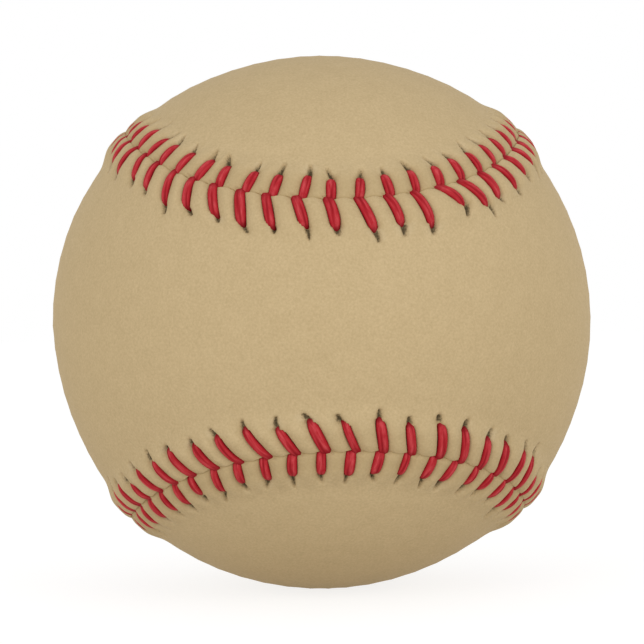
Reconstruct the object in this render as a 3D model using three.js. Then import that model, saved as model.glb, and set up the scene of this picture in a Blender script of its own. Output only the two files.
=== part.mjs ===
// A baseball: a cork and rubber pill, four yarn windings, a two-piece leather cover and its seam thread.
// Millimetres, +Z up. The origin is the ball's centre, and the waist of the front cover panel faces -Y.
import * as THREE from "three";

// Pill: the cork's radius, then the thickness of each rubber layer moulded around it
const corkRadius = 10.32;
const blackRubberThickness = 3.97;
const redRubberThickness = 2.38;
const gasketThickness = 1.2;

// Yarn windings: how much each one adds to the radius
const firstWindingBuild = 14.66;
const secondWindingBuild = 1.77;
const thirdWindingBuild = 2.27;
const finishingWindingBuild = 0.51;
const yarnPassageRadius = 1.5; // the hole that a winding's loose end is drawn through
const layerClearance = 0.2;
const layerSegments = 16;

// Leather cover: two alike panels, measured over the leather
const leatherThickness = 1.1;
const coverClearance = 0.4;
const waistWidth = 32.07; // seam to seam across the narrow middle of a panel
const weltWidth = 8; // from the seam to where the raised edge has died away
const frontHoleReach = 4.4; // from the seam to the middle of a stitch hole
const backHoleReach = 3.6;
const frontHoleSetback = 1.3; // how far a hole lies behind the point of its stitch
const backHoleSetback = 0.95;

// Seam: one closed curve of 108 stitches; the ratios bend it from a circle into the two-lobed seam
const stitchCount = 108;
const stitchPhase = 0.84; // share of a stitch from the curve's start to the first stitch
const lobeFill = 0.1267;
const seamSwing = 0.3761;
const seamEase = 0.0302;
const seamDivisions = 2000;

// Thread: flat in section, widest at the middle of each leg
const threadWidth = 1.25;
const threadEndWidth = 0.9;
const threadThickness = 0.6;
const threadClearance = 0.15; // between the thread and what it lies on
const holeClearance = 0.2; // around the thread in a hole or in the seam
const divePitch = 1.1; // between a stitch's two legs where they enter the seam side by side

// Mesh of a cover panel inside its welt
const panelColumns = 56;
const panelRows = 4;
const panelMidlineReach = THREE.MathUtils.degToRad(99.9); // from the waist to a lobe's centre

// Radii that follow from the layers
const blackRubberRadius = corkRadius + blackRubberThickness;
const redRubberRadius = blackRubberRadius + redRubberThickness;
const firstWindingRadius = redRubberRadius + firstWindingBuild;
const secondWindingRadius = firstWindingRadius + secondWindingBuild;
const thirdWindingRadius = secondWindingRadius + thirdWindingBuild;
const windingRadius = thirdWindingRadius + finishingWindingBuild;
const coverInnerRadius = windingRadius + coverClearance;
const ballRadius = coverInnerRadius + leatherThickness;
const underThreadRadius = windingRadius + threadClearance + threadThickness / 2;
const weltInnerRadius = underThreadRadius + threadThickness / 2 + threadClearance;
const weltOuterRadius = weltInnerRadius + leatherThickness;
const legRadius = weltOuterRadius + threadClearance + threadThickness / 2;
const seamHalfGap = threadThickness / 2 + holeClearance;
const holeHalfLength = threadEndWidth / 2 + holeClearance;

// The panels differ in their side of the seam, where their holes are punched, and the share of the seam
// at which the tip of one of their lobes lies
const frontPanel = { side: 1, holeReach: frontHoleReach, holeSetback: frontHoleSetback, lobeTip: 3 / 8 };
const backPanel = { side: -1, holeReach: backHoleReach, holeSetback: backHoleSetback, lobeTip: 5 / 8 };

const materials = {
  cork: { color: 0xb08a5c, roughness: 0.95, metalness: 0 },
  blackRubber: { color: 0x1f1d1c, roughness: 0.8, metalness: 0 },
  redRubber: { color: 0x96352c, roughness: 0.75, metalness: 0 },
  greyWool: { color: 0x8d8a84, roughness: 1, metalness: 0 },
  whiteWool: { color: 0xe3ded2, roughness: 1, metalness: 0 },
  finishingYarn: { color: 0xefebe1, roughness: 0.95, metalness: 0 },
  leather: { color: 0xb89c6c, roughness: 0.6, metalness: 0 },
  waxedThread: { color: 0xb4202f, roughness: 0.5, metalness: 0 },
};

const ball = new THREE.Group();

function addPiece(name, geometry, look) {
  const mesh = new THREE.Mesh(geometry, new THREE.MeshStandardMaterial(look));
  mesh.name = name;
  ball.add(mesh);
}

// Points of a round profile from one latitude to another, at the latitudes that every layer shares
function arcProfile(radius, fromLatitude, toLatitude) {
  const step = (2 * Math.PI) / layerSegments;
  const rising = Math.sign(toLatitude - fromLatitude);
  const latitudes = [fromLatitude];
  for (let row = -layerSegments / 4; row <= layerSegments / 4; row += 1) {
    const latitude = rising * row * step;
    const toEnds = [latitude - fromLatitude, toLatitude - latitude];
    if (toEnds.every((toEnd) => rising * toEnd > step / 4)) latitudes.push(latitude);
  }
  latitudes.push(toLatitude);
  return latitudes.map((latitude) => {
    const atPole = Math.abs(latitude) === Math.PI / 2;
    return new THREE.Vector2(atPole ? 0 : radius * Math.cos(latitude), radius * Math.sin(latitude));
  });
}

// Layers are turned about Y, the axis about which the seam repeats
function turned(profile) {
  return new THREE.LatheGeometry(profile, layerSegments);
}

function backShell(innerRadius, outerRadius, partingDepth) {
  return turned([
    ...arcProfile(innerRadius, Math.PI / 2, Math.asin(partingDepth / innerRadius)),
    ...arcProfile(outerRadius, Math.asin(partingDepth / outerRadius), Math.PI / 2),
  ]);
}

function frontShell(innerRadius, outerRadius, partingDepth) {
  return backShell(innerRadius, outerRadius, partingDepth).rotateX(Math.PI);
}

function gasketRing(innerRadius, outerRadius) {
  const half = gasketThickness / 2;
  const frontInner = new THREE.Vector2(innerRadius, -half);
  const frontOuter = new THREE.Vector2(outerRadius, -half);
  const backOuter = new THREE.Vector2(outerRadius, half);
  const backInner = new THREE.Vector2(innerRadius, half);
  return turned([frontInner, frontOuter, backOuter, backInner, frontInner]);
}

// A round layer with a passage through the back, so that its hollow is open as a wound layer's is
function winding(innerRadius, outerRadius) {
  const front = -Math.PI / 2;
  return turned([
    ...arcProfile(outerRadius, front, Math.acos(yarnPassageRadius / outerRadius)),
    ...arcProfile(innerRadius, Math.acos(yarnPassageRadius / innerRadius), front),
  ]);
}

// The seam on a sphere of radius 1, running so that its stitches point forwards along it
class SeamCurve extends THREE.Curve {
  getPoint(t, target = new THREE.Vector3()) {
    const angle = 2 * Math.PI * t;
    const waist = Math.cos(waistWidth / 2 / ballRadius);
    const depth = waist * Math.sin(2 * angle) * (1 + lobeFill * (1 + Math.cos(4 * angle)));
    const heading = angle - seamSwing * Math.sin(4 * angle) + seamEase * Math.sin(8 * angle) + Math.PI / 4;
    const spread = Math.sqrt(1 - depth * depth);
    return target.set(spread * Math.cos(heading), -depth, spread * Math.sin(heading));
  }
}

const seam = new SeamCurve();
seam.arcLengthDivisions = seamDivisions;
const seamLength = seam.getLength() * ballRadius;

// Share of the seam at which a stitch lies, moved along the seam by an offset in millimetres
function stitchAt(stitch, offset = 0) {
  return (stitch + stitchPhase) / stitchCount + offset / seamLength;
}

// A point beside the seam, on the front panel's side where the distance is positive
function besideSeam(at, distance, radius) {
  const share = THREE.MathUtils.euclideanModulo(at, 1);
  const onSeam = seam.getPointAt(share);
  const across = new THREE.Vector3().crossVectors(onSeam, seam.getTangentAt(share));
  const angle = distance / ballRadius;
  return onSeam.multiplyScalar(Math.cos(angle)).addScaledVector(across, Math.sin(angle)).setLength(radius);
}

// Collects points and triangles, turning each triangle round where the shape is built mirrored
class SolidBuilder {
  constructor() {
    this.coordinates = [];
    this.triangles = [];
  }

  point(position) {
    this.coordinates.push(...position.toArray());
    return this.coordinates.length / 3 - 1;
  }

  triangle(a, b, c, mirrored) {
    this.triangles.push(...(mirrored ? [a, c, b] : [a, b, c]));
  }

  quad(a, b, c, d, mirrored) {
    this.triangle(a, b, c, mirrored);
    this.triangle(a, c, d, mirrored);
  }

  geometry() {
    const geometry = new THREE.BufferGeometry();
    geometry.setAttribute("position", new THREE.Float32BufferAttribute(this.coordinates, 3));
    geometry.setIndex(this.triangles);
    geometry.computeVertexNormals();
    return geometry;
  }
}

// Joins two closed rings of points, each step taken along the ring that lags behind
function zipRings(solid, ring, innerRing, mirrored) {
  const ahead = (at, start) => THREE.MathUtils.euclideanModulo(at - start + 0.5, 1) - 0.5;
  const offStart = (point) => Math.abs(ahead(point.at, ring[0].at));
  let first = 0;
  innerRing.forEach((point, index) => {
    if (offStart(point) < offStart(innerRing[first])) first = index;
  });
  const lead = ahead(innerRing[first].at, ring[0].at);
  const pointOf = (points, index) => points[index % points.length];
  const travel = (points, start, step) => {
    if (step >= points.length) return 1;
    return THREE.MathUtils.euclideanModulo(pointOf(points, start + step).at - points[start].at, 1);
  };
  let outerStep = 0;
  let innerStep = 0;
  while (outerStep < ring.length || innerStep < innerRing.length) {
    const outerPoint = pointOf(ring, outerStep);
    const innerPoint = pointOf(innerRing, first + innerStep);
    const outerTravel = travel(ring, 0, outerStep + 1);
    const innerTravel = lead + travel(innerRing, first, innerStep + 1);
    const innerDone = innerStep === innerRing.length;
    if (innerDone || (outerStep < ring.length && outerTravel <= innerTravel)) {
      outerStep += 1;
      solid.triangle(outerPoint.id, pointOf(ring, outerStep).id, innerPoint.id, mirrored);
    } else {
      innerStep += 1;
      solid.triangle(outerPoint.id, pointOf(innerRing, first + innerStep).id, innerPoint.id, mirrored);
    }
  }
}

// The middle of a panel, from the centre of one lobe through the waist to the centre of the other
function midlineDirection(panel, turn) {
  const angle = panelMidlineReach * Math.cos(turn);
  if (panel.side > 0) return new THREE.Vector3(-Math.sin(angle), -Math.cos(angle), 0);
  return new THREE.Vector3(0, Math.cos(angle), -Math.sin(angle));
}

function slerpDirections(from, to, share) {
  const angle = from.angleTo(to);
  const start = from.clone().multiplyScalar(Math.sin((1 - share) * angle));
  return start.addScaledVector(to, Math.sin(share * angle)).normalize();
}

// One face of a panel's leather: the raised edge with its stitch holes, then the panel to its midline
function panelSkin(solid, panel, liftedRadius, plainRadius, mirrored) {
  const stitches = Array.from({ length: stitchCount }, (_, stitch) => stitch);
  const ringPoint = (at, distance, radius) => {
    const position = besideSeam(at, panel.side * distance, radius);
    return { at, position, id: solid.point(position) };
  };
  const holeRing = (distance) => stitches.flatMap((stitch) => [-1, 1].map((end) => {
    const at = stitchAt(stitch, end * holeHalfLength - panel.holeSetback);
    return ringPoint(at, distance, liftedRadius);
  }));
  const edge = stitches.map((stitch) => ringPoint(stitchAt(stitch), seamHalfGap, liftedRadius));
  const holeNear = holeRing(panel.holeReach - seamHalfGap);
  const holeFar = holeRing(panel.holeReach + seamHalfGap);
  const weltEnd = stitches.map((stitch) => {
    return ringPoint(stitchAt(stitch, -panel.holeSetback), weltWidth, plainRadius);
  });

  zipRings(solid, edge, holeNear, mirrored);
  for (const stitch of stitches) {
    const left = 2 * stitch + 1;
    const right = (left + 1) % holeNear.length;
    solid.quad(holeNear[left].id, holeNear[right].id, holeFar[right].id, holeFar[left].id, mirrored);
  }
  zipRings(solid, holeFar, weltEnd, mirrored);

  let outerRing = weltEnd;
  for (let row = 1; row <= panelRows; row += 1) {
    const innerRing = [];
    for (let column = 0; column < panelColumns; column += 1) {
      const at = panel.lobeTip + column / panelColumns;
      const start = besideSeam(at, panel.side * weltWidth, 1);
      const end = midlineDirection(panel, (2 * Math.PI * column) / panelColumns);
      const position = slerpDirections(start, end, row / panelRows).setLength(plainRadius);
      innerRing.push({ at, position, id: solid.point(position) });
    }
    zipRings(solid, outerRing, innerRing, mirrored);
    outerRing = innerRing;
  }
  return { edge, holeNear, holeFar };
}

function coverPanel(panel) {
  const solid = new SolidBuilder();
  const mirrored = panel.side < 0;
  const outside = panelSkin(solid, panel, weltOuterRadius, ballRadius, mirrored);
  const inside = panelSkin(solid, panel, weltInnerRadius, coverInnerRadius, !mirrored);
  for (let stitch = 0; stitch < stitchCount; stitch += 1) {
    const next = (stitch + 1) % stitchCount;
    const { edge } = outside;
    solid.quad(inside.edge[stitch].id, inside.edge[next].id, edge[next].id, edge[stitch].id, mirrored);
    const holeCorners = (skin) => [
      skin.holeNear[2 * stitch].id,
      skin.holeNear[2 * stitch + 1].id,
      skin.holeFar[2 * stitch + 1].id,
      skin.holeFar[2 * stitch].id,
    ];
    const upper = holeCorners(outside);
    const lower = holeCorners(inside);
    for (let corner = 0; corner < upper.length; corner += 1) {
      const other = (corner + 1) % upper.length;
      solid.quad(upper[corner], upper[other], lower[other], lower[corner], mirrored);
    }
  }
  return solid.geometry();
}

// One needle's route: up through a hole, over the leather to the seam, down it and under the other panel
function needleRoute(needle) {
  const panels = [frontPanel, backPanel];
  const route = [];
  for (let stitch = 0; stitch < stitchCount; stitch += 1) {
    const panel = panels[(stitch + needle) % panels.length];
    const holeAt = stitchAt(stitch, -panel.holeSetback);
    const holeDistance = panel.side * panel.holeReach;
    const diveAt = stitchAt(stitch, (panel.side * divePitch) / 2);
    const stop = (at, distance, radius, width) => {
      route.push({ position: besideSeam(at, distance, radius), width });
    };
    stop(holeAt, holeDistance, underThreadRadius, threadEndWidth);
    stop(holeAt, holeDistance, legRadius, threadEndWidth);
    stop((holeAt + diveAt) / 2, holeDistance / 2, legRadius, threadWidth);
    stop(diveAt, 0, legRadius, threadEndWidth);
    stop(diveAt, 0, underThreadRadius, threadEndWidth);
  }
  return route;
}

// The whole thread: both needles start from the stretch that crosses under the seam behind the first stitch
function threadRoute() {
  const behindFirst = stitchAt(0, -seamLength / stitchCount / 2);
  const crossing = { position: besideSeam(behindFirst, 0, underThreadRadius), width: threadEndWidth };
  return [...needleRoute(0).reverse(), crossing, ...needleRoute(1)];
}

// Sideways direction of each stretch of a route; an upright stretch takes it from its neighbours
function sidewaysDirections(route, headings) {
  const sideways = [];
  let last = null;
  headings.forEach((heading, index) => {
    const radial = route[index].position.clone().normalize();
    const side = new THREE.Vector3().crossVectors(radial, heading);
    const upright = side.length() < Math.SQRT1_2;
    if (upright) {
      sideways.push(null);
      return;
    }
    if (last && side.dot(last) < 0) side.negate();
    last = side.normalize();
    sideways.push(last);
  });
  return sideways.map((side, index) => {
    if (side) return side;
    const before = sideways[index - 1] ?? sideways[index + 1];
    const after = sideways[index + 1] ?? sideways[index - 1];
    return before.clone().add(after).normalize();
  });
}

// A lozenge section swept along a route with mitred corners
function threadTube(route) {
  const headings = route.slice(1).map((stop, index) => {
    return stop.position.clone().sub(route[index].position).normalize();
  });
  const sideways = sidewaysDirections(route, headings);
  const solid = new SolidBuilder();
  const rings = route.map((stop, index) => {
    const before = Math.max(index - 1, 0);
    const after = Math.min(index, headings.length - 1);
    const side = sideways[before].clone().add(sideways[after]).normalize();
    const rises = [before, after].map((stretch) => {
      return new THREE.Vector3().crossVectors(headings[stretch], side).normalize();
    });
    const mitre = rises[0].clone().add(rises[1]).divideScalar(1 + rises[0].dot(rises[1]));
    side.multiplyScalar(stop.width / 2);
    mitre.multiplyScalar(threadThickness / 2);
    return [side, mitre, side.clone().negate(), mitre.clone().negate()].map((offset) => {
      return solid.point(offset.add(stop.position));
    });
  });
  for (let index = 0; index + 1 < rings.length; index += 1) {
    const [ring, nextRing] = [rings[index], rings[index + 1]];
    for (let corner = 0; corner < ring.length; corner += 1) {
      const other = (corner + 1) % ring.length;
      solid.quad(ring[corner], ring[other], nextRing[other], nextRing[corner]);
    }
  }
  solid.quad(...rings[0].toReversed());
  solid.quad(...rings.at(-1));
  return solid.geometry();
}

// Pill: each rubber layer is moulded in two halves
const blackInnerRadius = corkRadius + layerClearance;
const blackParting = gasketThickness / 2 + layerClearance;
const redInnerRadius = blackRubberRadius + layerClearance;
const redParting = layerClearance / 2;
addPiece("cork_core", turned(arcProfile(corkRadius, -Math.PI / 2, Math.PI / 2)), materials.cork);
addPiece("pill_gasket", gasketRing(blackInnerRadius, blackRubberRadius), materials.redRubber);
for (const [half, shell] of [["front", frontShell], ["back", backShell]]) {
  const blackShell = shell(blackInnerRadius, blackRubberRadius, blackParting);
  const redShell = shell(redInnerRadius, redRubberRadius, redParting);
  addPiece(`black_rubber_shell_${half}`, blackShell, materials.blackRubber);
  addPiece(`red_rubber_shell_${half}`, redShell, materials.redRubber);
}

// Windings, from the inside out
const windings = [
  ["first_winding", redRubberRadius, firstWindingRadius, materials.greyWool],
  ["second_winding", firstWindingRadius, secondWindingRadius, materials.whiteWool],
  ["third_winding", secondWindingRadius, thirdWindingRadius, materials.greyWool],
  ["finishing_winding", thirdWindingRadius, windingRadius, materials.finishingYarn],
];
for (const [name, woundOnRadius, outerRadius, look] of windings) {
  addPiece(name, winding(woundOnRadius + layerClearance, outerRadius), look);
}

// Cover and seam
addPiece("cover_panel_front", coverPanel(frontPanel), materials.leather);
addPiece("cover_panel_back", coverPanel(backPanel), materials.leather);
addPiece("seam_thread", threadTube(threadRoute()), materials.waxedThread);

export default ball;
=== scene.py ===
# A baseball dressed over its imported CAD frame: leather cover, seam thread, yarn windings and pill.
# The pieces' sizes are in millimetres. Meshes, finishes, lamps and floor are in metres.
import math

import bmesh
import bpy
import numpy as np
from mathutils import Matrix, Vector, noise


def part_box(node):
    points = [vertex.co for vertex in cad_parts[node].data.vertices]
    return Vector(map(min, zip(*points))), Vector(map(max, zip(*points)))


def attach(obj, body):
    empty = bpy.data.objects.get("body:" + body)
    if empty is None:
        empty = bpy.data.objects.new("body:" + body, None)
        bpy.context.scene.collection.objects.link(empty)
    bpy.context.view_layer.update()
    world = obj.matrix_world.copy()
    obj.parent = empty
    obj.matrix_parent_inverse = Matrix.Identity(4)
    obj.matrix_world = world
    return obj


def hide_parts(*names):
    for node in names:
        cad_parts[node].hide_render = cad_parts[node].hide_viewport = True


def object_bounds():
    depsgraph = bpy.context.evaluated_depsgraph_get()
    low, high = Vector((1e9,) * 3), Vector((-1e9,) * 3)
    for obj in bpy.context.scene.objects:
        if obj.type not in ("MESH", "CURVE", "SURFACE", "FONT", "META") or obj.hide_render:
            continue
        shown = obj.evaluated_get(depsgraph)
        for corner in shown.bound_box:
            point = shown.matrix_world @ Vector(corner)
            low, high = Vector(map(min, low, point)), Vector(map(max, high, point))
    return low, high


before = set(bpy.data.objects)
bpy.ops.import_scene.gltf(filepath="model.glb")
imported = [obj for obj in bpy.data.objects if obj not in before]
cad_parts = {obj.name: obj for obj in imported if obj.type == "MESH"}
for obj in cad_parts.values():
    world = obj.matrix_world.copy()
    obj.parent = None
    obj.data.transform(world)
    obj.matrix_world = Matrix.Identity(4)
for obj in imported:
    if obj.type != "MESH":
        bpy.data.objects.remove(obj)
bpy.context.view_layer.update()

mm = 0.001
mergeDistance = 1e-6


# Small helpers

# Outer radius of a node that is round about the origin
def nodeRadius(node):
    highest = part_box(node)[1]
    return max(highest) / mm


# From 0 at the first value to 1 at the second, level at both
def ease(low, high, value):
    share = np.clip((value - low) / (high - low), 0, 1)
    return share * share * (3 - 2 * share)


def bell(value, width):
    return np.exp(-(value / width) ** 2)


def unit(vectors):
    return vectors / np.linalg.norm(vectors, axis=-1, keepdims=True)


def stepLengths(path):
    return np.linalg.norm(np.diff(path, axis=0), axis=1)


def onSphere(face, radius):
    return all(abs(vert.co.length - radius * mm) < mergeDistance for vert in face.verts)


# The faces that lie on the hollow's radius are an inner wall, and face into the hollow
def makePiece(name, bm, finish, slot, *nodes, hollow=0):
    bmesh.ops.remove_doubles(bm, verts=bm.verts, dist=mergeDistance)
    bmesh.ops.recalc_face_normals(bm, faces=bm.faces)
    inside = [face for face in bm.faces if onSphere(face, hollow)]
    bmesh.ops.reverse_faces(bm, faces=inside)
    for face in bm.faces:
        face.smooth = True
    mesh = bpy.data.meshes.new(name)
    bm.to_mesh(mesh)
    bm.free()
    piece = bpy.data.objects.new(name, mesh)
    bpy.context.collection.objects.link(piece)
    mesh.materials.append(finish)
    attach(piece, "root")
    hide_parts(*nodes)
    print(name, "has", len(mesh.polygons), "faces")


# A grid whose points are moved to their places, with values painted on its vertices
def addGrid(bm, points, paint=None):
    rows, columns = points.shape[:2]
    bm.loops.layers.uv.verify()
    layers = {name: bm.verts.layers.float.new(name) for name in paint or {}}
    made = bmesh.ops.create_grid(bm, x_segments=columns - 1, y_segments=rows - 1, size=0.5, calc_uvs=True)
    for vert, place in zip(made["verts"], (points.reshape(-1, 3) * mm).tolist()):
        vert.co = place
    for name, layer in layers.items():
        for vert, value in zip(made["verts"], paint[name].ravel().tolist()):
            vert[layer] = value


# Points of a tube swept along a path, from its sideways and upward half sizes at each place
def tubePoints(path, sideways, upward, sides, dent=None):
    angles = np.linspace(0, 2 * np.pi, sides + 1)
    across = np.cos(angles)[None, :, None]
    height = np.sin(angles)[None, :]
    if dent is not None:
        height = height * (1 - dent)
    return path[:, None] + sideways[:, None] * across + upward[:, None] * height[..., None]


# A grid that is joined round its section and capped at both ends
def addTube(bm, points, paint=None):
    addGrid(bm, points, paint)
    bmesh.ops.remove_doubles(bm, verts=bm.verts, dist=mergeDistance)
    openEdges = [edge for edge in bm.edges if edge.is_boundary]
    bmesh.ops.holes_fill(bm, edges=openEdges, sides=0)


# Shader maths: a wrapped socket whose operators add Math nodes

class Field:
    def __init__(self, finish, socket):
        self.finish = finish
        self.socket = socket

    def maths(self, operation, first, second):
        return self.finish.node("ShaderNodeMath", {"operation": operation}, {0: first, 1: second})

    def __add__(self, other):
        return self.maths("ADD", self, other)

    def __sub__(self, other):
        return self.maths("SUBTRACT", self, other)

    def __rsub__(self, other):
        return self.maths("SUBTRACT", other, self)

    def __mul__(self, other):
        return self.maths("MULTIPLY", self, other)

    __radd__ = __add__
    __rmul__ = __mul__


class Finish:
    def __init__(self, owner):
        owner.use_nodes = True
        self.owner = owner
        self.tree = owner.node_tree
        self.tree.nodes.clear()

    def node(self, kind, settings=None, values=None, output=0):
        made = self.tree.nodes.new(kind)
        for name, value in (settings or {}).items():
            setattr(made, name, value)
        for name, value in (values or {}).items():
            if isinstance(value, Field):
                self.tree.links.new(value.socket, made.inputs[name])
            else:
                made.inputs[name].default_value = value
        return Field(self, made.outputs[output]) if made.outputs else None

    def place(self):
        return self.node("ShaderNodeTexCoord", output="Object")

    def noise(self, vector, scale, detail=2, roughness=0.5):
        values = {"Vector": vector, "Scale": scale, "Detail": detail, "Roughness": roughness}
        return self.node("ShaderNodeTexNoise", None, values, "Fac")

    def cells(self, vector, scale, feature="F1", output="Distance"):
        values = {"Vector": vector, "Scale": scale}
        return self.node("ShaderNodeTexVoronoi", {"feature": feature}, values, output)

    def painted(self, name):
        return self.node("ShaderNodeAttribute", {"attribute_name": name}, output="Fac")

    def mix(self, factor, first, second):
        return self.node("ShaderNodeMix", {"data_type": "RGBA"}, {0: factor, 6: first, 7: second}, 2)

    def bump(self, height, distance):
        return self.node("ShaderNodeBump", None, {"Height": height, "Distance": distance})

    def surface(self, values):
        shader = self.node("ShaderNodeBsdfPrincipled", None, values)
        self.node("ShaderNodeOutputMaterial", None, {"Surface": shader})
        return self.owner


def newFinish(name):
    return Finish(bpy.data.materials.new(name))


# Finishes: colours are linear, and a noise has its scale per metre, its detail and its roughness.
# A Tone says how much a pattern shifts the colour, a Gloss the roughness and a Bump the height.

leather = {
    "shade": (0.470, 0.352, 0.186, 1),
    "light": (0.645, 0.494, 0.284, 1),
    "fray": (0.66, 0.55, 0.37, 1),      # the torn rim of a slit
    # hole: painted shade inside an open slit
    "hole": (0.094, 0.070, 0.037, 1),
    "shadeAndSoil": (0.40, 0.285, 0.135, 1),     # painted shade and soil: along the seam, beside the legs and in creases
    "cloudNoise": (38, 3),
    "mottleNoise": (420, 3),
    "grainNoise": (3300, 4, 0.6),
    "tearNoise": (4200, 2),
    "poreScale": 1500,
    "cloudTone": 0.25,
    "mottleTone": 0.3,
    "grainTone": 1.3,
    "frayTone": 0.6,
    "tearTone": 1.2,
    "tearRange": (0.12, 1.15),          # from whole leather to an open slit
    "roughness": 0.72,
    "grainGloss": 0.16,
    "grainBump": 0.7,
    "poreBump": 0.5,
    "bumpHeight": 0.00003,
    "specular": 0.1,
}


def leatherFinish():
    finish = newFinish("tanLeather")
    place = finish.place()
    cloud = finish.noise(place, *leather["cloudNoise"])
    mottle = finish.noise(place, *leather["mottleNoise"])
    grain = finish.noise(place, *leather["grainNoise"])
    tears = finish.noise(place, *leather["tearNoise"])
    pores = finish.cells(place, leather["poreScale"])
    tone = 0.5 + (cloud - 0.5) * leather["cloudTone"] + (mottle - 0.5) * leather["mottleTone"]
    tone = tone + (grain - 0.5) * leather["grainTone"]
    colour = finish.mix(tone, leather["shade"], leather["light"])
    # Soil and painted shade along the seam, beside the legs and in creases
    colour = finish.mix(finish.painted("shadeAndSoil"), colour, leather["shadeAndSoil"])
    colour = finish.mix(finish.painted("fray") * leather["frayTone"], colour, leather["fray"])
    # The open slits get painted shade, with ragged edges
    ragged = finish.painted("hole") + (tears - 0.5) * leather["tearTone"]
    whole, slit = leather["tearRange"]
    torn = finish.node("ShaderNodeMapRange", {"interpolation_type": "SMOOTHSTEP"},
                       {"Value": ragged, "From Min": whole, "From Max": slit})
    relief = grain * leather["grainBump"] + pores * leather["poreBump"]
    return finish.surface({
        "Base Color": finish.mix(torn, colour, leather["hole"]),
        "Roughness": leather["roughness"] - (grain - 0.5) * leather["grainGloss"],
        "Normal": finish.bump(relief, leather["bumpHeight"]),
        "Specular IOR Level": leather["specular"],
    })


waxedThread = {
    # deep: painted shade
    "deep": (0.195, 0.005, 0.009, 1),
    "red": (0.425, 0.014, 0.022, 1),
    # crown: painted highlight on the crowns of the plies
    "crown": (0.625, 0.078, 0.088, 1),
    "fibreScale": (14.0, 1500.0, 1.0),   # around the thread and along all of it
    "fibreNoise": (1, 3, 0.6),           # on that scale
    "patchNoise": (900, 2),
    # crownTone and fibreTone shape the painted highlight
    "crownTone": 0.75,
    "fibreTone": 3.6,
    # grooveTone: how much painted shade the thread gets
    "grooveTone": 0.72,
    "patchTone": 0.3,
    "roughness": 0.62,
    "fibreGloss": 0.3,
    "bumpHeight": 0.00003,
    "specular": 0.06,
}


def threadFinish():
    finish = newFinish("redWaxedThread")
    along = finish.node("ShaderNodeUVMap")
    stretched = finish.node("ShaderNodeVectorMath", {"operation": "MULTIPLY"},
                            {0: along, 1: waxedThread["fibreScale"]})
    fibres = finish.noise(stretched, *waxedThread["fibreNoise"])
    patches = finish.noise(finish.place(), *waxedThread["patchNoise"])
    # Painted highlight on the crowns of the plies, in streaks along the fibres
    streaks = waxedThread["crownTone"] + waxedThread["fibreTone"] * (fibres - 0.5)
    colour = finish.mix(finish.painted("crown") * streaks, waxedThread["red"], waxedThread["crown"])
    # Painted shade in the groove between the plies, on the thread's sides and at its ends, with random
    # patches
    dark = finish.painted("groove") * waxedThread["grooveTone"] + (patches - 0.5) * waxedThread["patchTone"]
    return finish.surface({
        "Base Color": finish.mix(dark, colour, waxedThread["deep"]),
        "Roughness": waxedThread["roughness"] + (fibres - 0.5) * waxedThread["fibreGloss"],
        "Normal": finish.bump(fibres, waxedThread["bumpHeight"]),
        "Specular IOR Level": waxedThread["specular"],
    })


# From dark to pale: painted shade between a yarn's plies, and random fuzz
yarns = {
    "greyWool": {
        "dark": (0.16, 0.15, 0.14, 1),
        "pale": (0.40, 0.38, 0.35, 1),
        "plies": 3,
        "bumpHeight": 0.00012,
    },
    "whiteWool": {
        "dark": (0.58, 0.54, 0.45, 1),
        "pale": (0.84, 0.80, 0.71, 1),
        "plies": 3,
        "bumpHeight": 0.0001,
    },
    "finishingYarn": {
        "dark": (0.70, 0.66, 0.57, 1),
        "pale": (0.90, 0.87, 0.80, 1),
        "plies": 2,
        "bumpHeight": 0.00003,
    },
}
# What the yarns have in common
spunYarn = {
    "fuzzNoise": (2200, 4, 0.65),
    "plyTone": 0.6,
    "fuzzTone": 0.4,
    "roughness": 0.95,
    "fuzzGloss": 0.1,
    "plyBump": 0.6,
    "fuzzBump": 0.5,
    "specular": 0.1,
    "sheen": 0.3,
}


def yarnFinish(name, twists):
    yarn = yarns[name]
    finish = newFinish(name)
    along = finish.node("ShaderNodeUVMap")
    around = finish.node("ShaderNodeSeparateXYZ", None, {"Vector": along}, "X")
    length = finish.node("ShaderNodeSeparateXYZ", None, {"Vector": along}, "Y")
    lay = (around * yarn["plies"] + length * twists) * (2 * math.pi)
    ply = finish.node("ShaderNodeMath", {"operation": "SINE"}, {0: lay}) * 0.5 + 0.5
    fuzz = finish.noise(finish.place(), *spunYarn["fuzzNoise"])
    # The plies are painted lighter on their crowns and darker between them, which is painted shade, with
    # random fuzz
    tone = ply * spunYarn["plyTone"] + fuzz * spunYarn["fuzzTone"]
    relief = ply * spunYarn["plyBump"] + fuzz * spunYarn["fuzzBump"]
    return finish.surface({
        "Base Color": finish.mix(tone, yarn["dark"], yarn["pale"]),
        "Roughness": spunYarn["roughness"] - fuzz * spunYarn["fuzzGloss"],
        "Normal": finish.bump(relief, yarn["bumpHeight"]),
        "Specular IOR Level": spunYarn["specular"],
        "Sheen Weight": spunYarn["sheen"],
    })


cork = {
    "pale": (0.50, 0.30, 0.14, 1),
    "dark": (0.17, 0.085, 0.035, 1),
    "granuleScale": 420,
    "jointWidth": 0.12,      # between the granules
    "speckNoise": (1600, 3),
    "granuleTone": 0.55,
    "speckTone": 0.25,
    "roughness": 0.85,
    "speckGloss": 0.1,
    "jointBump": 0.7,
    "speckBump": 0.4,
    "bumpHeight": 0.0002,
    "specular": 0.2,
}


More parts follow.
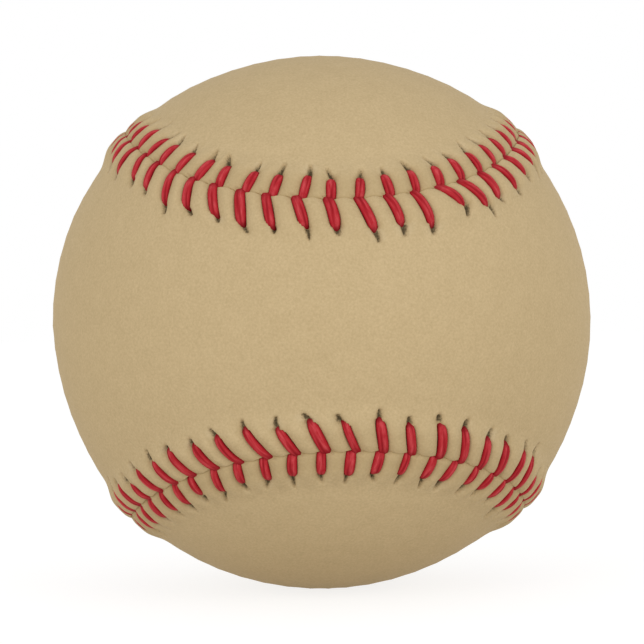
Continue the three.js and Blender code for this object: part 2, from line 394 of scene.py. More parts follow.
def corkFinish():
    finish = newFinish("pressedCork")
    place = finish.place()
    granules = finish.cells(place, cork["granuleScale"], output="Color")
    shadeOfGranule = finish.node("ShaderNodeSeparateColor", None, {"Color": granules}, "Red")
    joints = finish.cells(place, cork["granuleScale"], "DISTANCE_TO_EDGE")
    offJoint = finish.node("ShaderNodeMapRange", None, {"Value": joints, "From Max": cork["jointWidth"]})
    specks = finish.noise(place, *cork["speckNoise"])
    tone = shadeOfGranule * cork["granuleTone"] + specks * cork["speckTone"]
    body = finish.mix(tone, cork["pale"], cork["dark"])
    relief = offJoint * cork["jointBump"] + specks * cork["speckBump"]
    return finish.surface({
        "Base Color": finish.mix(offJoint, cork["dark"], body),
        "Roughness": cork["roughness"] + specks * cork["speckGloss"],
        "Normal": finish.bump(relief, cork["bumpHeight"]),
        "Specular IOR Level": cork["specular"],
    })


rubbers = {
    "blackRubber": {"deep": (0.010, 0.009, 0.008, 1), "worn": (0.030, 0.028, 0.026, 1)},
    "redRubber": {"deep": (0.24, 0.026, 0.018, 1), "worn": (0.36, 0.050, 0.036, 1)},
}
# What both rubbers have in common
moulded = {
    "bloomNoise": (160, 4, 0.6),
    "mouldNoise": (3200, 2),
    "roughness": 0.62,
    "bloomGloss": 0.2,
    "bumpHeight": 0.00003,
    "specular": 0.35,
}


def rubberFinish(name):
    rubber = rubbers[name]
    finish = newFinish(name)
    place = finish.place()
    bloom = finish.noise(place, *moulded["bloomNoise"])
    mould = finish.noise(place, *moulded["mouldNoise"])
    return finish.surface({
        "Base Color": finish.mix(bloom, rubber["deep"], rubber["worn"]),
        "Roughness": moulded["roughness"] + bloom * moulded["bloomGloss"],
        "Normal": finish.bump(mould, moulded["bumpHeight"]),
        "Specular IOR Level": moulded["specular"],
    })


# Seam: one closed curve that both panels and the thread follow

cover = {
    "thickness": 1.1,
    "clearance": 0.4,          # between the leather and the yarn under it
    "waistWidth": 32.07,       # seam to seam across the narrow middle of a panel
    "weltWidth": 8.0,          # of the band beside the seam that has the raised edge and the slits
    "weltTop": 2.5,            # as far from the seam as this, that edge is at full height
    "weltFoot": 6.7,           # and here it has died away
    "edgeRoll": 1.3,           # how far from the seam the leather's edge starts to roll over
    "seamHeight": 0.42,        # where the two edges meet, over the ball
    "seamGap": 0.005,          # from the seam to either edge
    "seamShadeWidth": 0.28,     # of the dark line of painted shade along the seam, where the panels meet
    "channelDepth": 0.72,      # the bed that a thread leg has pressed into the leather
    "channelHalfWidth": 0.46,
    "channelWall": 0.22,       # width of the bed's sloping side
    "headBed": 0.35,           # how far a leg that crosses the seam presses in the back panel's edge
    "pillow": 0.36,            # how far the leather swells between two legs
    "scallop": 0.07,           # how far the seam swings to and fro from stitch to stitch
    "scallopWidth": 2.0,       # and how far from the seam that is felt
    "legShare": 1.25,          # how far the leather follows a leg's slant, in lengths of the leg
    "holeDepth": 0.70,         # of the open slit at the end of a leg
    "holeHalfWidth": 0.36,
    "liningLift": 0.50,        # how far the inner side rises under the raised edge
    "midlineReach": 99.9,      # degrees from the waist to the centre of a lobe
    "weltRows": 34,            # across the band
    "rowCrowding": 1.5,        # how much closer those rows lie towards the seam
    "fieldRows": 7,            # from the band to the panel's middle line
    "liningRows": 3,
    # Where a stitch's columns lie, in shares of a stitch from the middle of its leg
    "columnSpread": (-.5, -.42, -.34, -.26, -.2, -.15, -.1, -.05, 0, .05, .1, .15, .2, .26, .34, .42),
}
# Where the ball isn't quite round: the edge of each place is the cosine of its angle from the middle
flats = (
    {"toward": (0.0, 0.0, 1.0), "edge": 0.80, "depth": 0.50},
    {"toward": (0.1, 0.0, -1.0), "edge": 0.80, "depth": 0.16},
    {"toward": (-1.0, 0.0, -0.3), "edge": 0.95, "depth": 0.22},
    {"toward": (-0.8, 0.0, 0.7), "edge": 0.95, "depth": 0.20},
    {"toward": (0.8, 0.0, -0.65), "edge": 0.93, "depth": -0.26},
)
seam = {
    "stitches": 108,
    "phase": 0.84,             # share of a stitch from the curve's start to the first stitch
    "lobeFill": 0.1267,        # how full the lobes are
    "swing": 0.3761,           # how far the curve swings from an even course round the ball
    "ease": 0.0302,            # and how much that swing is levelled
    "samples": 20000,
    "turnStep": 0.0001,        # share of the curve over which its direction is taken
}
ballRadius = nodeRadius("finishing_winding") + cover["clearance"] + cover["thickness"]


def seamPoints(turn):
    angle = 2 * np.pi * turn
    waist = math.cos(cover["waistWidth"] / 2 / ballRadius)
    depth = waist * np.sin(2 * angle) * (1 + seam["lobeFill"] * (1 + np.cos(4 * angle)))
    heading = angle - seam["swing"] * np.sin(4 * angle) + seam["ease"] * np.sin(8 * angle) + np.pi / 4
    spread = np.sqrt(1 - depth ** 2)
    return np.stack([spread * np.cos(heading), -depth, spread * np.sin(heading)], axis=-1)


seamTurns = np.linspace(0, 1, seam["samples"] + 1)
seamSteps = stepLengths(seamPoints(seamTurns)) * ballRadius
seamTravels = np.concatenate([[0], np.cumsum(seamSteps)])
seamLength = seamTravels[-1]
pitch = seamLength / seam["stitches"]
print("seam is", round(seamLength, 1), "mm long, with a stitch every", round(pitch, 2), "mm")


# Direction of a point at a distance from the seam, to the front panel's side where that is positive
def besideSeam(travel, distance):
    turn = np.interp(travel % seamLength, seamTravels, seamTurns)
    onSeam = seamPoints(turn)
    ahead = seamPoints(turn + seam["turnStep"]) - seamPoints(turn - seam["turnStep"])
    across = unit(np.cross(onSeam, ahead))
    angle = (distance / ballRadius)[..., None]
    return onSeam * np.cos(angle) + across * np.sin(angle)


# Stitch legs: each runs from a hole in its panel to the seam, and no two are quite alike

frontPanel = {
    "side": 1,
    "lobeTip": 3 / 8,          # share of the seam at which the tip of a lobe lies
    "lift": 0.70,              # of the raised edge over the ball
    "reach": 3.82,             # from the seam to the outer end of a leg
    "setback": 1.1,            # how far that end lies behind the point of its stitch
    "lead": 0.27,              # how far its other end lies ahead of that point
    "cross": 0.55,             # how far that other end runs past the seam
    "seamRise": 0.14,          # and how much it rises there from its bed
    "tuck": 0.9,               # how far from the seam it starts to darken
    "swell": -3.2,             # distance from the seam at which the swell between legs would start
    "cut": 0.24,               # slope of the lip of leather that a leg comes out from
    "taper": 0.13,             # and how far that lip closes in round the slit
    "holeShift": -0.22,        # from the middle of a leg's end to its slit
    "holeLength": (0.75, 1.7),
    "holeTone": 1.7,           # how dark the slit's painted shade is where it starts
    "soilAndShade": 0.16,              # how much the raised edge is soiled and darkened with painted shade
    "seamShade": 0.05,          # and how much painted shade darkens it along the seam
    "spread": {"reach": 0.42, "setback": 0.42, "lead": 0.15},   # how much the legs differ
    "seed": 11,
}
backPanel = {
    "side": -1,
    "lobeTip": 5 / 8,
    "lift": 0.50,
    "reach": 3.30,
    "setback": 0.66,
    "lead": -0.30,
    "cross": 0.05,
    "seamRise": -0.20,
    "tuck": 0.5,
    "swell": -1.7,
    "cut": 0.20,
    "taper": 0.03,
    "holeShift": 0.0,
    "holeLength": (1.0, 2.0),
    "holeTone": 1.5,
    "soilAndShade": 0.36,
    "seamShade": 0.40,
    "spread": {"reach": 0.26, "setback": 0.22, "lead": 0.12},
    "seed": 29,
}
# How much the legs of both panels differ
handwork = {
    "width": 0.10,
    "holeGap": (-0.1, 0.35),   # from the end of the leg to the open slit
    "holeWidth": (0.75, 1.25),
    "holeShift": 0.18,
    "holeTilt": 0.35,
    "creaseLength": (0.2, 2.8),
    "cut": 0.25,
    "bow": (0.0, 0.6),         # how much a leg bends towards the seam's way
    "limit": 2,                # no leg differs by more than this many times the usual
}


def sewLegs(panel):
    chance = np.random.default_rng(panel["seed"])
    count = seam["stitches"]

    def varied(value, spread):
        return value + spread * np.clip(chance.normal(size=count), -handwork["limit"], handwork["limit"])

    return {
        "reach": varied(panel["reach"], panel["spread"]["reach"]),
        "setback": varied(panel["setback"], panel["spread"]["setback"]),
        "lead": varied(panel["lead"], panel["spread"]["lead"]),
        "width": varied(1, handwork["width"]),
        "cut": varied(panel["cut"], handwork["cut"]),
        "bow": chance.uniform(*handwork["bow"], count),
        "plyPhase": chance.uniform(0, 1, count),
        "holeGap": chance.uniform(*handwork["holeGap"], count),
        "holeLength": chance.uniform(*panel["holeLength"], count),
        "holeWidth": chance.uniform(*handwork["holeWidth"], count),
        "holeShift": varied(panel["holeShift"], handwork["holeShift"]),
        "holeTilt": varied(0, handwork["holeTilt"]),
        "creaseLength": chance.uniform(*handwork["creaseLength"], count),
        "creaseTilt": varied(0, handwork["holeTilt"]),
        "torn": chance.uniform(0, 1, count),
    }


for panel in (frontPanel, backPanel):
    panel["legs"] = sewLegs(panel)


def legsAt(panel, stitch):
    return {name: values[stitch % seam["stitches"]] for name, values in panel["legs"].items()}


# Travel along the seam of a leg's middle line, at a distance from the seam
def legTravel(panel, stitch, distance):
    legs = legsAt(panel, stitch)
    share = np.minimum(distance / legs["reach"], cover["legShare"])
    fall = share * (1 + legs["bow"] * (1 - share))
    return (stitch + seam["phase"]) * pitch + legs["lead"] - (legs["lead"] + legs["setback"]) * fall


def weltShape(distance):
    return 1 - ease(cover["weltTop"], cover["weltFoot"], distance)


# Height over the ball of a panel's raised edge, which rolls down to meet the other at the seam
def weltHeight(panel, distance):
    rolled = np.clip(1 - distance / cover["edgeRoll"], 0, 1)
    return panel["lift"] * weltShape(distance) - (panel["lift"] - cover["seamHeight"]) * rolled ** 2


# Leather cover

# What a leg has done to the leather. A pair is where a form starts to grow or to fade and where that
# is done, and its note says what it is measured from.
stitched = {
    "channelOpen": (-0.5, 0.4),     # the seam
    "channelLip": (-0.1, 0.3),      # the lip of leather at a leg's end
    "pillowSide": (0.6, 1.7),       # a leg's middle line
    "pillowFull": 1.3,              # the seam, for a swell that starts at the panel's own distance
    "pillowEnd": (2.8, 5.8),        # the seam
    "headSide": (0.8, 0.55),        # the middle line of the leg that crosses the seam
    "headEnd": (0.55, 0.25),        # the seam
    "holeOpen": (-0.2, 0.1),        # the start of a slit
    "holeClose": (-0.3, 0.1),       # its end
    "holeMouth": 1.1,               # width of a slit where it starts, in usual widths
    "holeTaper": 0.35,              # and how much narrower it gets
    "holeSharpness": 1.5,
    "holeFade": 0.9,                # how much paler the slit's painted shade gets towards its end
    "rimWidth": 2.0,                # of the torn leather round a slit, in widths of the slit
    "rimHeight": 0.05,
    "creaseOpen": (0.2, 0.6),       # a leg's end
    "creaseClose": (-1.2, 0),       # the crease's own end
    "creaseWidth": 0.25,
    "creaseDepth": 0.06,
    # painted shade in a crease
    "creaseShade": 0.15,
    "soilAndShadeEnd": (1.5, 4.4),          # the seam
    # painted shade beside a leg
    "legShade": 0.3,
    "legShadeSide": (1.3, 0.7),      # a leg's middle line
    "legShadeEnd": (-0.4, 0.6),      # a leg's end
    "endDarkening": 0.4,                  # darkening round the end of a leg
    "endDarkeningWidth": 0.8,
    "endDarkeningOpen": (-0.4, 0.2),      # a leg's end
    "endDarkeningEnd": (0.3, 1.4),        # a leg's end
}


def weltSurface(panel, stitch, distance, aside):
    legs = legsAt(panel, stitch)
    slant = np.arctan2(panel["lead"] + panel["setback"], panel["reach"])
    off = np.abs(aside) * np.cos(slant)
    past = distance - legs["reach"]

    # The leg's bed, which ends at a lip of leather, and the swell beside it
    fromSlit = (aside - legs["holeShift"]) / cover["channelHalfWidth"]
    pastLip = past + legs["cut"] * aside + panel["taper"] * fromSlit ** 2
    channel = 1 - ease(0, 1, (off - cover["channelHalfWidth"] * legs["width"]) / cover["channelWall"])
    channel = channel * (1 - ease(*stitched["channelLip"], pastLip))
    channel = channel * ease(*stitched["channelOpen"], distance)
    pillow = ease(*stitched["pillowSide"], off) * (1 - ease(*stitched["pillowEnd"], distance))
    pillow = pillow * ease(panel["swell"], stitched["pillowFull"], distance)

    # The open slit past the leg's end, its torn rim, and a crease that runs on from it
    outward = past - legs["holeGap"]
    fade = ease(0, 1, outward / legs["holeLength"])
    holeFlare = stitched["holeMouth"] - stitched["holeTaper"] * fade
    holeWidth = cover["holeHalfWidth"] * legs["holeWidth"] * holeFlare
    holeOff = (aside - legs["holeShift"] - legs["holeTilt"] * outward) / holeWidth
    holeEnd = 1 - ease(*stitched["holeClose"], outward - legs["holeLength"])
    holeSpan = ease(*stitched["holeOpen"], outward) * holeEnd
    hole = bell(holeOff, 1) * holeSpan
    tornRim = np.clip(bell(holeOff, stitched["rimWidth"]) * holeSpan - hole, 0, 1) * legs["torn"]
    creaseOff = aside - legs["creaseTilt"] * past
    creaseEnd = 1 - ease(*stitched["creaseClose"], past - legs["creaseLength"])
    crease = bell(creaseOff, stitched["creaseWidth"]) * (ease(*stitched["creaseOpen"], past) * creaseEnd)

    relief = cover["pillow"] * pillow - cover["holeDepth"] * hole
    relief = relief + stitched["rimHeight"] * tornRim - stitched["creaseDepth"] * crease
    height = weltHeight(panel, distance) - cover["channelDepth"] * channel + relief
    if panel is backPanel:
        fromHead = aside + legTravel(panel, stitch, distance) - legTravel(frontPanel, stitch, -distance)
        headBed = cover["headBed"] * ease(*stitched["headSide"], np.abs(fromHead))
        height = height - headBed * ease(*stitched["headEnd"], distance)

    # Colour: soil and painted shade on the raised edge, painted shade along the seam, beside a leg and in
    # its crease, and a darkening round a leg's end
    endDarkening = bell(aside - legs["holeShift"], stitched["endDarkeningWidth"]) * ease(*stitched["endDarkeningOpen"], past)
    endDarkening = endDarkening * (1 - ease(*stitched["endDarkeningEnd"], past))
    soilAndShade = panel["soilAndShade"] * (1 - ease(*stitched["soilAndShadeEnd"], distance)) + stitched["endDarkening"] * endDarkening
    # Painted shade in the gap along the seam
    soilAndShade = soilAndShade + panel["seamShade"] * ease(cover["seamShadeWidth"], 0, distance)
    # Painted shade beside a leg and in its crease
    besideLeg = ease(*stitched["legShadeSide"], off) * (1 - ease(*stitched["legShadeEnd"], past))
    soilAndShade = soilAndShade + stitched["legShade"] * besideLeg + stitched["creaseShade"] * crease
    # The slit's dark colour is painted shade of its open inside
    darkness = hole ** stitched["holeSharpness"] * (panel["holeTone"] - stitched["holeFade"] * fade)
    return height, {"hole": np.clip(darkness, 0, 1), "shadeAndSoil": np.clip(soilAndShade, 0, 1), "fray": tornRim}


# The panel's middle line, from lobe to lobe, where each column of its grid ends
def panelMidline(panel, columns):
    perStitch = len(cover["columnSpread"])
    tip = round((panel["lobeTip"] * seam["stitches"] - seam["phase"] + 0.5) * perStitch)
    turn = 2 * np.pi * (columns - tip) / (seam["stitches"] * perStitch)
    angle = math.radians(cover["midlineReach"]) * np.cos(turn)
    level = np.zeros_like(angle)
    if panel["side"] > 0:
        return np.stack([-np.sin(angle), -np.cos(angle), level], axis=-1)
    return np.stack([level, np.cos(angle), -np.sin(angle)], axis=-1)


# Direction at a share of the arc from one direction to another
def slerp(start, end, share):
    angle = np.arccos(np.clip(np.sum(start * end, axis=-1, keepdims=True), -1, 1))
    return unit(start * np.sin((1 - share) * angle) + end * np.sin(share * angle))


# Rows of directions from the band beside the seam to the middle line
def fieldRows(bandEnd, midline, count):
    shares = np.linspace(0, 1, count + 1)[1:]
    return np.stack([slerp(bandEnd, midline, share) for share in shares])


# How far the ball is from round: it is a little flat in some places and full in others
def flattened(directions):
    depth = 0
    for flat in flats:
        toward = directions @ unit(np.array(flat["toward"]))
        depth = depth + flat["depth"] * ease(flat["edge"], 1, toward)
    return depth


def coverPanel(name, panel, finish, node):
    spread = np.array(cover["columnSpread"])
    columns = np.arange(seam["stitches"] * len(spread) + 1)
    stitch = (columns // len(spread))[None, :]
    offset = spread[columns % len(spread)][None, :]
    neighbour = stitch + np.sign(offset).astype(int)
    midline = panelMidline(panel, columns)

    # A column between two legs leans as both do, and more as the nearer one
    def weltDirections(distance):
        own = legTravel(panel, stitch, distance)
        other = legTravel(panel, neighbour, distance) - (neighbour - stitch) * pitch
        shift = (other - own) * np.abs(offset)
        aside = offset * pitch + shift
        swing = np.cos(2 * np.pi * ((own + aside) / pitch - seam["phase"]))
        scallop = cover["scallop"] * swing * (1 - ease(0, cover["scallopWidth"], distance))
        return besideSeam(own + aside, panel["side"] * distance + scallop), aside

    # Outer side: the band beside the seam, and the field from there to the middle line
    share = np.linspace(0, 1, cover["weltRows"])[:, None]
    distance = cover["seamGap"] + (cover["weltWidth"] - cover["seamGap"]) * share ** cover["rowCrowding"]
    directions, aside = weltDirections(distance)
    height, paint = weltSurface(panel, stitch, distance, aside)
    welt = directions * (ballRadius + height - flattened(directions))[..., None]
    fieldDirections = fieldRows(directions[-1], midline, cover["fieldRows"])
    field = fieldDirections * (ballRadius - flattened(fieldDirections))[..., None]

    # Inner side
    liningDistance = np.array([cover["seamGap"], cover["weltTop"], cover["weltWidth"]])[:, None]
    liningDirections = weltDirections(liningDistance)[0]
    liningRadius = ballRadius - cover["thickness"]
    liningRise = cover["liningLift"] * weltShape(liningDistance)
    liningWelt = liningDirections * (liningRadius + liningRise)[..., None]
    lining = fieldRows(liningDirections[-1], midline, cover["liningRows"]) * liningRadius

    points = np.concatenate([lining[::-1], liningWelt[::-1], welt, field])
    before = len(lining) + len(liningWelt)
    allPaint = {}
    for layer, values in paint.items():
        allPaint[layer] = np.zeros(points.shape[:2])
        allPaint[layer][before:before + len(welt)] = values
    bm = bmesh.new()
    addGrid(bm, points, allPaint)
    makePiece(name, bm, finish, "cover_leather", node)


tanLeather = leatherFinish()
coverPanel("coverPanelFront", frontPanel, tanLeather, "cover_panel_front")
coverPanel("coverPanelBack", backPanel, tanLeather, "cover_panel_back")


# Seam thread: both needles' routes as one tube, over the leather in legs and under it between them

thread = {
    "halfWidth": 0.65,
    "halfThickness": 0.42,
    "holeHalfWidth": 0.55,     # where a leg comes out of its hole
    "seamHalfWidth": 0.68,     # where it goes into the seam
    "underHalfThickness": 0.28,
    "rest": -0.48,             # height of a leg's middle line over the welt
    "crown": 0.42,             # how much more it rises halfway along
    "under": -1.05,            # height of its middle line where it runs under the leather
    "holeBend": 0.38,          # how squarely a leg turns down at its hole, less being squarer
    "seamBend": 0.40,          # and at the seam
    "wideFrom": 0.22,          # share of a leg from which it has its full width
    "riseFrom": 0.72,          # share from which it changes height towards the seam
    "seamFrom": 0.75,          # and width
    "legSteps": 19,
    "crowding": 1.7,           # how much those steps are drawn to the middle of a leg
    "inHole": 0.06,            # how far a leg runs on past its visible end
    "underShares": (0.25, 0.75),   # where its rings lie on the way to the next leg
    "sides": 20,
    "plyGroove": 0.24,         # depth of the groove between the plies, as a share of the thickness
    "plyWidth": 0.2,
    "plyWander": 0.28,         # how far that groove wanders to the sides
    "plyTurn": 0.35,           # and how much of a wave it makes along a leg
    "plyDepths": (0.6, 0.4),   # its usual depth, and how far that varies
    "plyDepthTurn": 0.8,
    "plyDepthPhase": 3,
    # how narrow the painted highlight on the plies' crowns is
    "crownSharpness": 4,
    "edgeDark": 0.95,          # painted shade on the sides of the thread
    "edgeWidth": 0.45,
    "tuckDark": 0.8,           # painted shade where it goes down at the seam
    "tuckEnd": -0.2,
    "holeDark": (0.13, 0.03),  # shares of a leg between which painted shade darkens it towards its hole
}


def threadLeg(panel, stitch):
    legs = legsAt(panel, stitch)
    along = np.linspace(-1, 1, thread["legSteps"])
    turn = np.pi / 2 * np.abs(along) ** thread["crowding"]
    bend = np.where(along < 0, thread["holeBend"], thread["seamBend"])
    share = 0.5 + 0.5 * np.sign(along) * np.sin(turn) ** bend
    rise = np.abs(np.cos(turn)) ** bend
    start = legs["reach"] + thread["inHole"]
    distance = start - share * (start + panel["cross"])
    top = weltHeight(panel, distance) + thread["rest"] + thread["crown"] * np.sin(np.pi * share)
    top = top + panel["seamRise"] * ease(thread["riseFrom"], 1, share)
    height = thread["under"] + (top - thread["under"]) * rise
    directions = besideSeam(legTravel(panel, stitch, distance), panel["side"] * distance)
    path = directions * (ballRadius + height - flattened(directions))[:, None]

    wide = thread["halfWidth"] * legs["width"]
    widening = (wide - thread["holeHalfWidth"]) * ease(0, thread["wideFrom"], share)
    narrowing = (wide - thread["seamHalfWidth"]) * ease(thread["seamFrom"], 1, share)
    halfWidth = thread["holeHalfWidth"] + widening - narrowing
    slim = thread["underHalfThickness"]
    halfThickness = slim + (thread["halfThickness"] - slim) * np.sqrt(rise)
    heading = unit(path[-1] - path[0])
    side = unit(np.cross(unit(path.mean(axis=0)), heading))
    outward = unit(np.cross(unit(np.gradient(path, axis=0)), side))

    groovePhase = legs["plyPhase"] + thread["plyTurn"] * share
    depthPhase = thread["plyDepthPhase"] * legs["plyPhase"] + thread["plyDepthTurn"] * share
    usual, varying = thread["plyDepths"]
    # Painted shade where the leg goes down at the seam and into its hole
    tucked = thread["tuckDark"] * ease(panel["tuck"], thread["tuckEnd"], distance)
    return {
        "path": path,
        "sideways": side * halfWidth[:, None],
        "upward": outward * halfThickness[:, None],
        "groove": thread["plyWander"] * np.sin(2 * np.pi * groovePhase),
        "plyDepth": usual + varying * np.sin(2 * np.pi * depthPhase),
        "shaded": tucked + ease(*thread["holeDark"], share),
    }


# Half a turn of the section, for rings that run the other way, so that the tube doesn't twist
def turnOver(rings):
    for name in ("sideways", "upward", "groove"):
        rings[name] = -rings[name]


# The thread under the leather, from one leg's end at the seam to the next leg's hole
def underRun(leg, nextLeg):
    start = leg["path"][-1]
    end = nextLeg["path"][0]
    heading = unit(end - start)
    side = leg["sideways"][-1] + nextLeg["sideways"][0]
    side = unit(side - heading * np.dot(side, heading))
    count = len(thread["underShares"])
    return {
        "path": start + (end - start) * np.array(thread["underShares"])[:, None],
        "sideways": np.tile(side * thread["holeHalfWidth"], (count, 1)),
        "upward": np.tile(np.cross(heading, side) * thread["underHalfThickness"], (count, 1)),
        "groove": np.zeros(count),
        "plyDepth": np.zeros(count),
        # under the leather it is all in painted shade
        "shaded": np.ones(count),
    }


def threadRings(needle):
    panels = (frontPanel, backPanel)
    legs = [threadLeg(panels[(stitch + needle) % 2], stitch) for stitch in range(seam["stitches"])]
    for leg in legs[1::2]:
        turnOver(leg)
    runs = [legs[0]]
    for leg, nextLeg in zip(legs, legs[1:]):
        runs += [underRun(leg, nextLeg), nextLeg]
    return {name: np.concatenate([run[name] for run in runs]) for name in legs[0]}


def seamThread(finish):
    # The first needle's route is followed backwards, with its section mirrored to keep its faces outward
    first = {name: values[::-1] for name, values in threadRings(0).items()}
    for name in ("sideways", "groove"):
        first[name] = -first[name]
    second = threadRings(1)
    if np.dot(first["sideways"][-1], second["sideways"][0]) < 0:
        turnOver(second)
    rings = {name: np.concatenate([first[name], second[name]]) for name in first}

    angles = np.linspace(0, 2 * np.pi, thread["sides"] + 1)[None, :]
    fromGroove = np.cos(angles) - rings["groove"][:, None]
    inGroove = bell(fromGroove, thread["plyWidth"]) * rings["plyDepth"][:, None]
    dents = thread["plyGroove"] * inGroove
    points = tubePoints(rings["path"], rings["sideways"], rings["upward"], thread["sides"], dents)
    # Painted highlight on the crowns of the plies
    ply = np.clip(np.abs(np.sin(angles)) * (1 - inGroove), 0, 1)
    # Painted shade in the groove between the plies, on the thread's sides and at its ends
    edges = thread["edgeDark"] * bell(np.sin(angles), thread["edgeWidth"])
    dark = np.maximum(edges, rings["shaded"][:, None])
    bm = bmesh.new()
    addTube(bm, points, {"groove": np.maximum(inGroove, dark), "crown": ply ** thread["crownSharpness"]})
    print("thread is", round(stepLengths(rings["path"]).sum() * mm, 2), "m long")
    makePiece("seamThread", bm, finish, "waxed_thread", "seam_thread")


seamThread(threadFinish())


# Windings: one continuous yarn over the layer beneath, each turn a great circle that swings on a little

windings = (
    {
        "name": "firstWinding",
        "node": "first_winding",
        "over": "red_rubber_shell_front",
        "slot": "grey_wool",
        "yarn": "greyWool",
        "thick": 1.7,
        "turns": 90,
        "advance": 0.0764,     # share of a turn by which each circle swings on
        "sides": 6,
    },
    {
        "name": "secondWinding",
        "node": "second_winding",
        "over": "first_winding",
        "slot": "white_wool",
        "yarn": "whiteWool",
        "thick": 1.2,
        "turns": 120,
        "advance": 0.0702,
        "sides": 6,
    },
    {
        "name": "thirdWinding",
        "node": "third_winding",
        "over": "second_winding",
        "slot": "grey_wool",
        "yarn": "greyWool",
        "thick": 1.3,
        "turns": 120,
        "advance": 0.0821,
        "sides": 6,
    },
    {
        "name": "finishingWinding",
        "node": "finishing_winding",
        "over": "third_winding",
        "slot": "finishing_yarn",
        "yarn": "finishingYarn",
        "thick": 0.3,
        "turns": 300,
        "advance": 0.0729,
        "sides": 4,
    },
)
# What the windings have in common
winder = {
    "clearance": 0.2,          # from the layer beneath
    "stepsPerTurn": 48,
    "twistLength": 4,          # of the yarn's plies, in thicknesses of the yarn
    "baseDetail": 4,
}


def woundLayer(layer):
    outer = nodeRadius(layer["node"])
    inner = nodeRadius(layer["over"]) + winder["clearance"]
    half = layer["thick"] / 2
    progress = np.linspace(0, 1, layer["turns"] * winder["stepsPerTurn"] + 1)
    angle = 2 * np.pi * layer["turns"] * progress
    tilt = np.arccos(1 - progress)   # spreads the turns evenly over the ball
    spin = angle * layer["advance"]
    across = np.sin(angle) * np.cos(tilt)
    ring = np.stack([np.cos(angle) * np.cos(spin) - across * np.sin(spin),
                     np.cos(angle) * np.sin(spin) + across * np.cos(spin),
                     np.sin(angle) * np.sin(tilt)], axis=-1)
    build = min(half, outer - inner - layer["thick"])   # how far the yarn climbs as it is wound
    path = ring * (outer - half - build * (1 - progress))[:, None]
    side = unit(np.cross(ring, np.gradient(path, axis=0))) * half
    bm = bmesh.new()
    addTube(bm, tubePoints(path, side, ring * half, layer["sides"]))
    # The base that the yarn lies on, and the hollow inside it
    for radius in (outer - half - build, inner):
        bmesh.ops.create_icosphere(bm, subdivisions=winder["baseDetail"], radius=radius * mm, calc_uvs=True)
    twists = stepLengths(path).sum() / (winder["twistLength"] * layer["thick"])
    finish = yarnFinish(layer["yarn"], twists)
    makePiece(layer["name"], bm, finish, layer["slot"], layer["node"], hollow=inner)


for layer in windings:
    woundLayer(layer)


# Pill: cork, two black half shells with a ring between them, and two red half shells

pill = {
    "clearance": 0.2,
    "ringThickness": 1.2,
    "edgeRadius": 0.15,
    "edgeSteps": 3,
    "sharpAngle": 50,          # degrees from which an edge is rounded
    "spinSteps": 64,
    "arcSteps": 16,
    "corkDetail": 5,
    "corkRoughness": 0.12,
    "lumpSize": 2.2,
    "granuleSize": 0.9,
    "granuleShare": 0.5,       # how high the granules stand beside the lumps
}
blackRadius = nodeRadius("black_rubber_shell_front")
redRadius = nodeRadius("red_rubber_shell_front")
corkRadius = nodeRadius("cork_core")


def corkCore():
    bm = bmesh.new()
    bmesh.ops.create_icosphere(bm, subdivisions=pill["corkDetail"], radius=corkRadius * mm)
    for vert in bm.verts:
        lumps = noise.noise(vert.co / (pill["lumpSize"] * mm))
        granules = noise.noise(vert.co / (pill["granuleSize"] * mm))
        height = lumps + pill["granuleShare"] * granules - 1
        vert.co += vert.co.normalized() * height * pill["corkRoughness"] * mm
    makePiece("corkCore", bm, corkFinish(), "cork", "cork_core")


# A profile of radius and depth spun about the Y axis, with its sharp edges rounded
def turned(bm, profile):
    verts = [bm.verts.new((radius * mm, depth * mm, 0)) for radius, depth in profile]
    edges = [bm.edges.new(pair) for pair in zip(verts, verts[1:])]
    bmesh.ops.spin(bm, geom=verts + edges, cent=(0, 0, 0), axis=(0, 1, 0), angle=2 * math.pi,
                   steps=pill["spinSteps"], use_merge=True)
    bmesh.ops.remove_doubles(bm, verts=bm.verts, dist=mergeDistance)
    bmesh.ops.recalc_face_normals(bm, faces=bm.faces)
    sharpAngle = math.radians(pill["sharpAngle"])
    sharp = [edge for edge in bm.edges if edge.calc_face_angle(0) > sharpAngle]
    bmesh.ops.bevel(bm, geom=sharp, offset=pill["edgeRadius"] * mm, offset_type="OFFSET", affect="EDGES",
                    segments=pill["edgeSteps"], profile=0.5, material=-1)


def arc(radius, fromAngle, toAngle):
    angles = np.linspace(fromAngle, toAngle, pill["arcSteps"] + 1)
    return [(radius * math.cos(angle), radius * math.sin(angle)) for angle in angles]


# The parting is how far the shell's flat edge lies from the middle of the ball
def halfShell(name, node, inner, outer, parting, finish, slot, facing):
    pole = math.pi / 2
    outside = arc(outer, pole, math.asin(parting / outer))
    inside = arc(inner, math.asin(parting / inner), pole)
    bm = bmesh.new()
    turned(bm, outside + inside)
    if facing == "front":
        bmesh.ops.rotate(bm, verts=bm.verts, cent=(0, 0, 0), matrix=Matrix.Rotation(math.pi, 3, "X"))
    makePiece(name, bm, finish, slot, node)


def pillRing(finish):
    half = pill["ringThickness"] / 2
    inner = corkRadius + pill["clearance"]
    corners = [(inner, -half), (blackRadius, -half), (blackRadius, half), (inner, half), (inner, -half)]
    bm = bmesh.new()
    turned(bm, corners)
    makePiece("pillGasket", bm, finish, "red_rubber", "pill_gasket")


corkCore()
blackRubber = rubberFinish("blackRubber")
redRubber = rubberFinish("redRubber")
pillRing(redRubber)
for facing in ("front", "back"):
    halfShell("blackRubberShell" + facing.title(), "black_rubber_shell_" + facing,
              corkRadius + pill["clearance"], blackRadius, pill["ringThickness"] / 2 + pill["clearance"],
              blackRubber, "black_rubber", facing)
    halfShell("redRubberShell" + facing.title(), "red_rubber_shell_" + facing,
              blackRadius + pill["clearance"], redRadius, pill["clearance"] / 2,
              redRubber, "red_rubber", facing)


# Studio: camera at the photo's angle, white room, soft light from the front and above

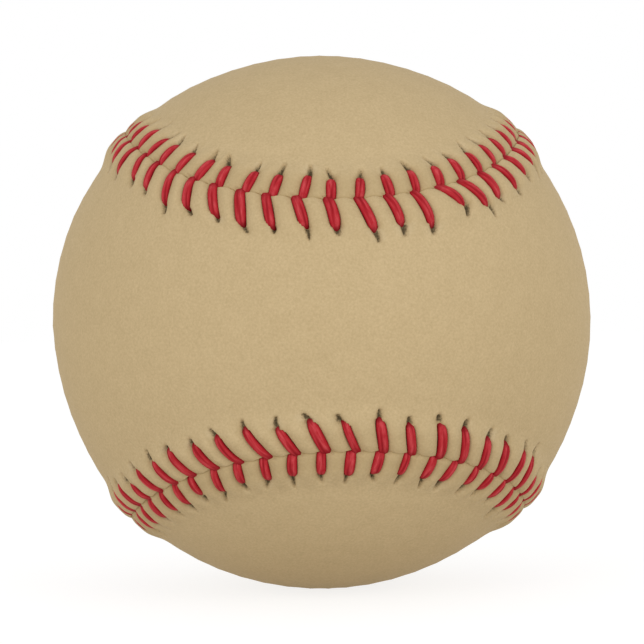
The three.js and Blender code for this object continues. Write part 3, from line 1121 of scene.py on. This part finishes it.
studio = {
    "cameraDistance": 321.1,            # in millimetres, as the lens and the sensor are
    "lens": 128.3,
    "sensor": 36,
    "cameraTurn": (0.88, 4.13, 0.98),   # degrees about the view's right, up and back axes
    "shift": (0.0006, -0.0017),
    "clipStart": 0.01,
    "roomLight": 0.645,
    "lampPower": 2.0,
    "lampSize": 0.5,
    "lampPlaces": ((-0.559, -0.666, 0.233), (0.559, -0.666, 0.233)),
    "white": (1, 1, 1, 1),
    "floorColour": (0.50, 0.48, 0.44, 1),      # as it lights the ball
    "floorGlow": 0.28,
    "seenColour": (0.32, 0.32, 0.32, 1),       # as the camera sees it, which leaves the ball's shadow
    "seenGlow": 0.8,
    "floorSize": 3.0,
}


def placeCamera():
    turn = Vector([math.radians(angle) for angle in studio["cameraTurn"]])
    view = Matrix.Rotation(turn.length, 3, turn)
    right, up, back = [Vector((row[0], -row[2], row[1])) for row in view]
    data = bpy.data.cameras.new("photoCamera")
    data.lens = studio["lens"]
    data.sensor_width = studio["sensor"]
    data.shift_x, data.shift_y = studio["shift"]
    data.clip_start = studio["clipStart"]
    camera = bpy.data.objects.new("photoCamera", data)
    bpy.context.collection.objects.link(camera)
    camera.matrix_world = Matrix((right, up, back)).transposed().to_4x4()
    camera.location = back * studio["cameraDistance"] * mm
    bpy.context.scene.camera = camera


# 1 for what is seen, also in gloss or through glass, and 0 for light that falls on the ball
def seenDirectly(finish):
    rays = [finish.node("ShaderNodeLightPath", output=ray)
            for ray in ("Is Camera Ray", "Is Glossy Ray", "Is Transmission Ray")]
    return finish.node("ShaderNodeMath", {"operation": "MINIMUM"}, {0: rays[0] + rays[1] + rays[2], 1: 1.0})


def lightRoom():
    world = bpy.data.worlds.new("whiteRoom")
    bpy.context.scene.world = world
    finish = Finish(world)
    light = {"Color": studio["white"], "Strength": studio["roomLight"]}
    glow = finish.node("ShaderNodeBackground", None, light)
    backdrop = finish.node("ShaderNodeBackground", None, {"Color": studio["white"], "Strength": 1})
    shown = finish.node("ShaderNodeMixShader", None, {0: seenDirectly(finish), 1: glow, 2: backdrop})
    finish.node("ShaderNodeOutputWorld", None, {"Surface": shown})
    for place in studio["lampPlaces"]:
        data = bpy.data.lights.new("softLamp", "AREA")
        data.energy = studio["lampPower"]
        data.size = studio["lampSize"]
        lamp = bpy.data.objects.new("softLamp", data)
        bpy.context.collection.objects.link(lamp)
        lamp.location = place
        lamp.rotation_euler = (-Vector(place)).to_track_quat("-Z", "Y").to_euler()


# A matt paper that glows a little
def glowingPaper(finish, colour, strength):
    matt = finish.node("ShaderNodeBsdfDiffuse", None, {"Color": colour})
    glow = finish.node("ShaderNodeEmission", None, {"Strength": strength})
    return finish.node("ShaderNodeAddShader", None, {0: matt, 1: glow})


def layFloor():
    finish = newFinish("paleFloor")
    paper = glowingPaper(finish, studio["floorColour"], studio["floorGlow"])
    seen = glowingPaper(finish, studio["seenColour"], studio["seenGlow"])
    shown = finish.node("ShaderNodeMixShader", None, {0: seenDirectly(finish), 1: paper, 2: seen})
    finish.node("ShaderNodeOutputMaterial", None, {"Surface": shown})
    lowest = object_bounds()[0].z
    bm = bmesh.new()
    bmesh.ops.create_grid(bm, x_segments=1, y_segments=1, size=studio["floorSize"] / 2,
                          matrix=Matrix.Translation((0, 0, lowest)))
    mesh = bpy.data.meshes.new("floor")
    bm.to_mesh(mesh)
    bm.free()
    mesh.materials.append(finish.owner)
    floor = bpy.data.objects.new("floor", mesh)
    bpy.context.collection.objects.link(floor)


placeCamera()
lightRoom()
layFloor()
bpy.context.scene.view_settings.view_transform = "Standard"
print("studio is set")
